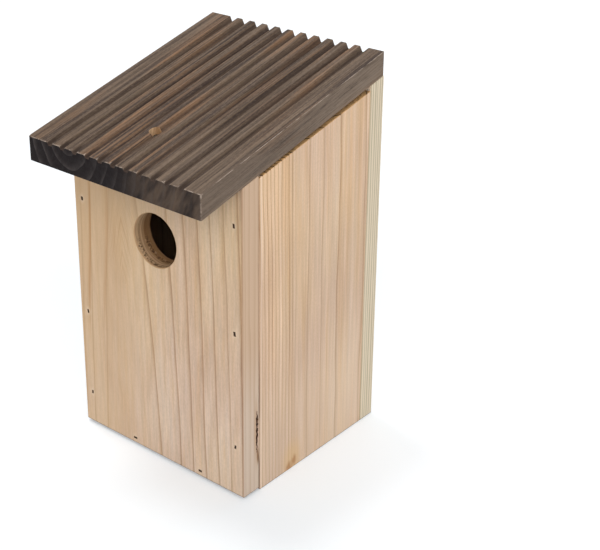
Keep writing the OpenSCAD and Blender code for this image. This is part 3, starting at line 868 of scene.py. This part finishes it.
# The roof is one pine board, stained dark brown. Eleven grooves are milled along its slope,
# shallower toward the front. It is sawn plumb at both ends, and a counterbore near the front
# takes the roof screw.
roof_slope = math.radians(13.8)
roof_plumb = 0.015755
roof_low, roof_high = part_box("roof_board")
groove_pitch, groove_top, groove_bottom, groove_depth = 0.01064, 0.0063, 0.0026, 0.0037
groove_front_depth = 0.0020        # they run out shallower toward the front
groove_shift, groove_count = 0.0022, 11
corner_round, nose_round, roof_rim = 0.0011, 0.0005, 0.0006
out_of_roof = Vector((0, -math.sin(roof_slope), math.cos(roof_slope)))
screw_foot = Vector((0, -0.05925, 0.21038))        # where the screw crosses the roof's underside
stain_mid = (0.148, 0.101, 0.068)
stain_dark = (0.060, 0.041, 0.033)
stain_orange = (0.275, 0.138, 0.065)
stain_grey = (0.205, 0.152, 0.112)
# Worn wood where the stain has gone, also laid on as a painted highlight on the ridges' front edges.
worn_and_glint = (0.400, 0.320, 0.260)
# Painted shade in the grooves' front ends.
groove_mouth_shade = (0.040, 0.026, 0.020)
roof_end_dark = (0.010, 0.006, 0.006)
roof_end_brown = (0.094, 0.062, 0.042)
roof_end_arc = (0.066, 0.054, 0.051)


def stained(name, worn):
    """Brown stain over pine, with painted shade deep in the grooves and at their front ends. It is
    greyer in front on the right, scuffed on the flanks, and nearly black on the ends, where the
    years show as arcs. Where it is worn, the wood shows on the right rim, and a painted highlight
    brightens the ridges' front edges."""
    material, tree, shader = open_material(name)
    place = feed(tree, "TexCoord").outputs
    at, facing = place["Object"], sides_of(tree, place["Normal"])
    x, y = sides_of(tree, at)[:2]
    along = leaned(tree, at, (-0.036, -0.0665, 0.2284), (-math.pi / 2 + roof_slope, 0, 0))
    board = grown_in(tree, along, growth(0.0085, 0.0070, 0.05, 0.1, 0.007, 0.0011, 0.0022), 71)
    long_streak = grainy(tree, along, (1, 1, 0.016), 380, 4, 0.75, 12)
    patch = grainy(tree, along, (1, 1, 0.10), 75, 2, 0.5, 14)
    speckle = grainy(tree, at, (1, 0.35, 1), 1100, 2, 0.6, 15)
    orange = times(tree, fade(tree, patch, 0.48, 0.62), fade(tree, long_streak, 0.44, 0.54), 0.55)
    colour = coats(
        tree, tint(tree, fade(tree, long_streak, 0.38, 0.54), stain_dark, stain_mid),
        (fade(tree, long_streak, 0.52, 0.68, 0.0, 0.7), stain_grey), (orange, stain_orange),
        (times(tree, board["Late"], 0.5), stain_dark),
        (fade(tree, speckle, 0.5, 0.7, 0.0, 0.4), stain_grey),
        (fade(tree, speckle, 0.5, 0.3, 0.0, 0.4), stain_dark),
    )
    colour = shade(tree, colour, fade(tree, board["Fibre"], 0.35, 0.65, 0.72, 1.25))
    greyer_front_right = times(tree, fade(tree, x, 0.0, 0.05), fade(tree, y, -0.03, -0.08), 0.2)
    top_level = Vector((0, roof_low.y, roof_low.z + roof_plumb)).dot(out_of_roof)
    sunk = calculate(tree, "SUBTRACT", top_level, combine(tree, "DOT_PRODUCT", at, out_of_roof))
    off_sides = fade(tree, calculate(tree, "ABSOLUTE", x), 0.0688, 0.0694, 1.0, 0.0)
    # Painted shade deep in the grooves.
    groove_shade = times(tree, fade(tree, sunk, 0.0004, 0.0024), fade(tree, sunk, 0.0042, 0.0050, 1.0, 0.0),
                   off_sides, 0.55)
    scuffs = grainy(tree, along, (1, 1, 0.035), 1300, 3, 0.7, 19)
    flank = times(tree, fade(tree, calculate(tree, "ABSOLUTE", facing[0]), 0.9, 0.99),
                  fade(tree, y, -0.06, 0.04, 0.25, 0.55), fade(tree, scuffs, 0.35, 0.62, 0.2, 1.9))
    # Painted shade in the grooves' front ends.
    mouth_shade = times(tree, fade(tree, y, -0.088, -0.097), fade(tree, sunk, 0.0003, 0.0009), off_sides, 0.75)
    slanted = leaned(tree, at, (0, 0, 0), (0, math.radians(28), 0))
    blotch = grainy(tree, slanted, (1, 1, 0.3), 90, 3, 0.65, 33)
    browner = times(tree, fade(tree, x, 0.0, 0.045), fade(tree, blotch, 0.38, 0.62, 0.1, 1.0))
    arc = times(tree, board["Late"], fade(tree, blotch, 0.4, 0.6, 0.1, 0.6),
                fade(tree, x, -0.02, 0.015, 1.0, 0.5))
    end_colour = tint(tree, arc, tint(tree, browner, roof_end_dark, roof_end_brown), roof_end_arc)
    end = fade(tree, calculate(tree, "ABSOLUTE", facing[1]), 0.75, 0.95)
    colour = coats(tree, colour, (greyer_front_right, stain_grey), (groove_shade, stain_dark), (flank, stain_grey),
                   (mouth_shade, groove_mouth_shade), (end, end_colour))
    if worn:
        rubbed = grainy(tree, at, (1, 0.3, 1), 300, 3, 0.6, 9)
        # A painted highlight on the ridges' front edges, and worn wood showing on the right rim.
        ridge_glint = times(tree, fade(tree, y, -0.0985, -0.0995), fade(tree, sunk, 0.0009, 0.0005), 1.3)
        right_rim = times(tree, fade(tree, x, 0.0685, 0.0697), fade(tree, sunk, 0.004, 0.0002, 0.6, 1.2))
        bare_and_glint = times(tree, calculate(tree, "MAXIMUM", ridge_glint, right_rim),
                     fade(tree, rubbed, 0.42, 0.6, 0.05, 0.6))
        colour = tint(tree, bare_and_glint, colour, worn_and_glint)
    height = calculate(tree, "ADD", times(tree, board["Fibre"], 0.5), times(tree, board["Late"], 0.5))
    dress(tree, shader, colour, fade(tree, long_streak, 0.3, 0.7, 0.72, 0.5), height, 0.0004, 0.9,
          {"Specular IOR Level": 0.14})
    return material


rise = roof_high.z - roof_low.z - roof_plumb
roof = block("grooved_roof", roof_low, (roof_high.x, roof_high.y, roof_low.z + roof_plumb))
roof.data.materials.append(stained("stained_pine", False))
# The second stain shows wear and a painted highlight on the bevelled edges.
roof.data.materials.append(stained("worn_glinting_stain", True))
slide(roof, (0, 0, rise), lambda vertex: vertex.co.y > 0)
pick(roof, "edges", lambda edge: all(vertex.co.y < 0 for vertex in edge.verts)
     and abs(edge.verts[0].co.x - edge.verts[1].co.x) < 0.001)
bpy.ops.mesh.bevel(offset=corner_round, segments=3)
done(roof)
pick(roof, "edges", lambda edge: all(vertex.co.y < roof_low.y + 0.003 and vertex.co.z > roof_low.z + 0.01
                                     for vertex in edge.verts))
bpy.ops.mesh.bevel(offset=nose_round, segments=2)
done(roof)

# The grooves' cutter is a bar, narrower below, that reaches past both ends and is repeated.
past_end = 0.01
length = roof_high.y - roof_low.y
fall = past_end * rise / length
top_front = roof_low.z + roof_plumb
plumb_depth = groove_depth / math.cos(roof_slope)
flare = groove_top + (groove_top - groove_bottom) / plumb_depth * past_face
first_groove = groove_shift - (groove_count - 1) / 2 * groove_pitch
groove = block("groove", (first_groove - flare / 2, roof_low.y - past_end, top_front - fall - plumb_depth),
               (first_groove + flare / 2, roof_high.y + past_end, top_front - fall + past_face))
pick(groove, "faces", lambda face: face.normal.z < -0.9)
bpy.ops.transform.resize(value=(groove_bottom / flare, 1, 1), center_override=(first_groove, 0, 0))
done(groove)
run_out = (groove_depth - groove_front_depth) / math.cos(roof_slope) / length
slide(groove, (0, 0, rise + 2 * fall - run_out * past_end), lambda vertex: vertex.co.y > 0)
slide(groove, (0, 0, run_out * (length + past_end)), lambda vertex: vertex.co.y < 0)
apply_with(groove, "ARRAY", count=groove_count, use_relative_offset=False, use_constant_offset=True,
           constant_offset_displace=(groove_pitch, 0, 0))
groove.data.materials.append(roof.data.materials[0])
cut(roof, groove)
ease(roof, roof_rim, material=1)

counterbore = turned("counterbore", [(0, 0.0084), (0.0038, 0.0084), (0.0038, 0.0152), (0.0042, 0.0156),
                                     (0.0042, 0.017), (0, 0.017)], screw_foot, out_of_roof, 48)
counterbore.data.materials.append(drilled_pine)
shank_hole = turned("shank_hole", [(0, -0.002), (0.0018, -0.002), (0.0018, 0.009), (0, 0.009)],
                    screw_foot, out_of_roof, 32)
shank_hole.data.materials.append(drilled_pine)
cut(roof, counterbore, shank_hole, *bores("roof_staples"))
finish(roof, "roof_wood", "roof", "roof_board")

# The roof screw is a dark countersunk steel screw. It stands square to the roof, its head in
# the counterbore, and its tip reaches down into the front panel.
screw_radius, screw_head, screw_head_height, screw_length = 0.00175, 0.0033, 0.0024, 0.020
head_bottom = 0.0084
thread_foot, thread_pitch, thread_turns = 0.0036, 0.0011, 12
screw_dark, screw_light = (0.060, 0.056, 0.052), (0.240, 0.225, 0.205)

core, tip = screw_radius * 0.72, head_bottom - screw_length
profile = [(0, tip), (0.0004, tip), (screw_radius * 0.8, tip + 0.003)]
for step in range(thread_turns):
    up = tip + thread_foot + step * thread_pitch
    profile += [(core, up), (core, up + 0.0004), (screw_radius, up + 0.0007)]
profile += [(core, head_bottom - 0.0022), (screw_radius * 0.75, head_bottom)]
profile += [(screw_head - 0.0002, head_bottom + 0.0017), (screw_head, head_bottom + 0.0019)]
profile += [(screw_head, head_bottom + 0.0022), (screw_head - 0.0002, head_bottom + screw_head_height)]
profile += [(0, head_bottom + screw_head_height)]
roof_screw = turned("roof_fixing_screw", profile, screw_foot, out_of_roof, 48)
roof_screw.data.materials.append(
    metal("dark_screw_steel", screw_dark, screw_light, 900, (0.3, 0.5), seed=8.0)
)
cut(roof_screw, *cross_recess(screw_foot + out_of_roof * (head_bottom + screw_head_height), out_of_roof,
                              0.0038, 0.0015, 0.0010))
finish(roof_screw, "dark_steel", "screw", "roof_screw")

# The hinge is a strip of woven green webbing, cut off a roll, so its short ends are a little
# askew and frayed. It lies on the back panel's face and bends over to the roof's rear end.
rib_pitch, pick_pitch = 0.0018, 0.0015
strap_low, strap_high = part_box("hinge_strap")
hinge_height = 0.241268
strap_thickness = 0.0015
rib_depth, pick_depth = 0.00030, 0.00012
left_askew, right_askew, foot_askew, fray = 0.003, 0.0015, 0.0012, 0.0005
step_height = 0.001        # over which it moves in from the back panel's face to the roof's end
selvedge_share, selvedge_sunk = 0.035, 0.0002
rim_share, rim_sunk = 0.012, 0.00045


def strap_point(across, up, side):
    """A point of the webbing's outer (1) or inner (0) face, by its shares across and up."""
    frayed = fray * noise.noise(Vector((up * 22, across > 0.5, 4)))
    left = strap_low.x + left_askew * (1 - up) + frayed
    right = strap_high.x - right_askew * (1 - up) - frayed
    x = left + (right - left) * across
    foot = strap_low.z + foot_askew * across
    z = foot + (strap_high.z - foot) * up
    inward = strap_high.y - strap_thickness - strap_low.y
    inward *= min(1, max(0, (z - hinge_height) / step_height))
    rib = 0.5 + 0.5 * math.cos(math.tau * x / rib_pitch)
    odd = round(x / rib_pitch) % 2
    pick_wave = 0.5 + 0.5 * math.cos(math.tau * z / pick_pitch + math.pi * odd)
    selvedge = max(0, 1 - min(up, 1 - up) / selvedge_share)
    sunk = rib_depth * (1 - rib) + pick_depth * (1 - pick_wave) * rib
    rim = rim_sunk * max(0, 1 - min(up, 1 - up) / rim_share) ** 2
    sunk = sunk * (1 - selvedge) + selvedge_sunk * selvedge + rim
    y = strap_high.y - inward - sunk if side else strap_high.y - strap_thickness - inward + rim
    return (x, y, z), 1 - sunk / (rib_depth + pick_depth)


columns, rows = 480, 80
points, relief = [], []
for side in (1, 0):
    for row in range(rows + 1):
        for column in range(columns + 1):
            point, raised = strap_point(column / columns, row / rows, side)
            points.append(point)
            relief.append(raised)
wide = columns + 1
layer = wide * (rows + 1)
faces = []
for row in range(rows):
    for column in range(columns):
        a = row * wide + column
        faces.append((a + 1, a, a + wide, a + wide + 1))
        faces.append((layer + a, layer + a + 1, layer + a + wide + 1, layer + a + wide))
for column in range(columns):
    for row, turn in ((0, 1), (rows, -1)):
        a = row * wide + column
        faces.append((a, a + 1, layer + a + 1, layer + a)[::turn])
for row in range(rows):
    for column, turn in ((0, -1), (columns, 1)):
        a = row * wide + column
        faces.append((a, a + wide, layer + a + wide, layer + a)[::turn])
mesh = bpy.data.meshes.new("webbing")
mesh.from_pydata(points, [], faces)
mesh.attributes.new("relief", "FLOAT", "POINT").data.foreach_set("value", relief)
webbing = add("webbing", mesh)

woven, tree, shader = open_material("woven_green")
at = feed(tree, "TexCoord").outputs["Object"]
raised = feed(tree, "Attribute", attribute_name="relief").outputs["Fac"]
fuzz = grainy(tree, at, (1, 1, 1), 1600, 3, 0.7)
faded = grainy(tree, at, (1, 1, 1), 90, 2, 0.5)
near_ends = fade(tree, away_from(tree, sides_of(tree, at)[0], 0.0018), 0.049, 0.054, 0.0, 0.6)
# The webbing is painted darker where its weave is sunk: painted shade in its hollows.
green = coats(
    tree, tint(tree, raised, (0.021, 0.046, 0.007), (0.106, 0.180, 0.038)),
    (fade(tree, faded, 0.4, 0.7, 0.0, 0.3), (0.160, 0.230, 0.058)),
    (near_ends, (0.330, 0.430, 0.110)),
    (fade(tree, fuzz, 0.55, 0.75, 0.0, 0.35), (0.270, 0.370, 0.120)),
)
dress(tree, shader, green, 0.85, fuzz, 0.00015, 1.0, {"Sheen Weight": 0.25})
webbing.data.materials.append(woven)
pick(webbing, "faces", lambda face: True)
bpy.ops.mesh.normals_make_consistent(inside=False)
done(webbing)
bpy.ops.object.shade_smooth_by_angle(angle=math.radians(60))
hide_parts("hinge_strap")
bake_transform(webbing)

# Six wire staples hold the webbing, three in the roof's rear end and three in the back panel.
staple_wire, staple_bend = 0.0008, 0.0006
wire_dark, wire_light = (0.300, 0.300, 0.300), (0.560, 0.555, 0.540)
staple_steel = metal("staple_steel", wire_dark, wire_light, 500, (0.25, 0.45), seed=2.0)
for node, body in (("roof_staples", "roof"), ("back_staples", "box")):
    for number, (low, high) in enumerate(sorted(solids_of(node), key=lambda solid: solid[0].x)):
        half = staple_wire / 2
        left, right, crown, middle = low.x + half, high.x - half, high.y - half, (low.z + high.z) / 2
        bend_at = crown - staple_bend
        way = [(left, low.y, middle), (left, bend_at, middle)]
        for side, start in ((left + staple_bend, math.pi), (right - staple_bend, math.pi / 2)):
            for step in range(5):
                angle = start - math.pi / 2 * step / 4
                way.append((side + staple_bend * math.cos(angle), bend_at + staple_bend * math.sin(angle),
                            middle))
        way += [(right, bend_at, middle), (right, low.y, middle)]
        wire = bpy.data.curves.new("staple_way", "CURVE")
        wire.dimensions, wire.bevel_depth = "3D", half
        wire.bevel_resolution, wire.use_fill_caps = 4, True
        run = wire.splines.new("POLY")
        run.points.add(len(way) - 1)
        for point, corner in zip(run.points, way):
            point.co = (*corner, 1)
        add(f"{node[:-1]}_{number + 1}", wire)
        bpy.ops.object.convert(target="MESH")
        staple = bpy.context.object
        pick(staple, "faces", lambda face: True)
        bpy.ops.mesh.remove_doubles(threshold=1e-6)
        bpy.ops.mesh.normals_make_consistent(inside=False)
        done(staple)
        staple.data.materials.append(staple_steel)
        finish(staple, "staple_wire", body, node)

# The box stands on a white floor in soft studio light. The camera sees the floor as white
# wherever the box leaves it unshaded.
floor_white = (0.760, 0.795, 0.825, 1)
floor_lift = 0.215
world_light = 0.42

bpy.ops.mesh.primitive_plane_add(size=12, location=(0, 0, 0))
studio_floor = bpy.context.object
studio_floor.name = "studio_floor"
white, tree, shader = open_material("studio_white")
seen = feed(tree, "LightPath").outputs["Is Camera Ray"]
plug(tree, shader, {"Base Color": floor_white, "Roughness": 1.0, "Specular IOR Level": 0.0,
                    "Emission Color": (1, 1, 1, 1), "Emission Strength": times(tree, seen, floor_lift)})
studio_floor.data.materials.append(white)

studio = bpy.data.worlds.new("studio")
studio.use_nodes = True
bpy.context.scene.world = studio
tree = studio.node_tree
seen = feed(tree, "LightPath").outputs["Is Camera Ray"]
plug(tree, tree.nodes["Background"], {"Color": (1, 1, 1, 1),
                                      "Strength": fade(tree, seen, 0, 1, world_light, 1.0)})


def soft_light(name, turn, lift, spread, strength):
    """Soft light from afar: its direction round the box and above the floor, and its spread."""
    bpy.ops.object.light_add(type="SUN", location=(0, 0, 1),
                             rotation=(math.radians(90 - lift), 0, math.radians(turn)))
    lamp = bpy.context.object
    lamp.name = name
    lamp.data.energy, lamp.data.angle = strength, math.radians(spread)


soft_light("front_light", 25, 35, 40, 1.20)
soft_light("right_light", 70, 30, 40, 1.00)
soft_light("top_light", -90, 73, 14, 0.80)
soft_light("back_light", 200, 35, 60, 0.68)

view = bpy.context.scene.view_settings
view.view_transform = "Standard"
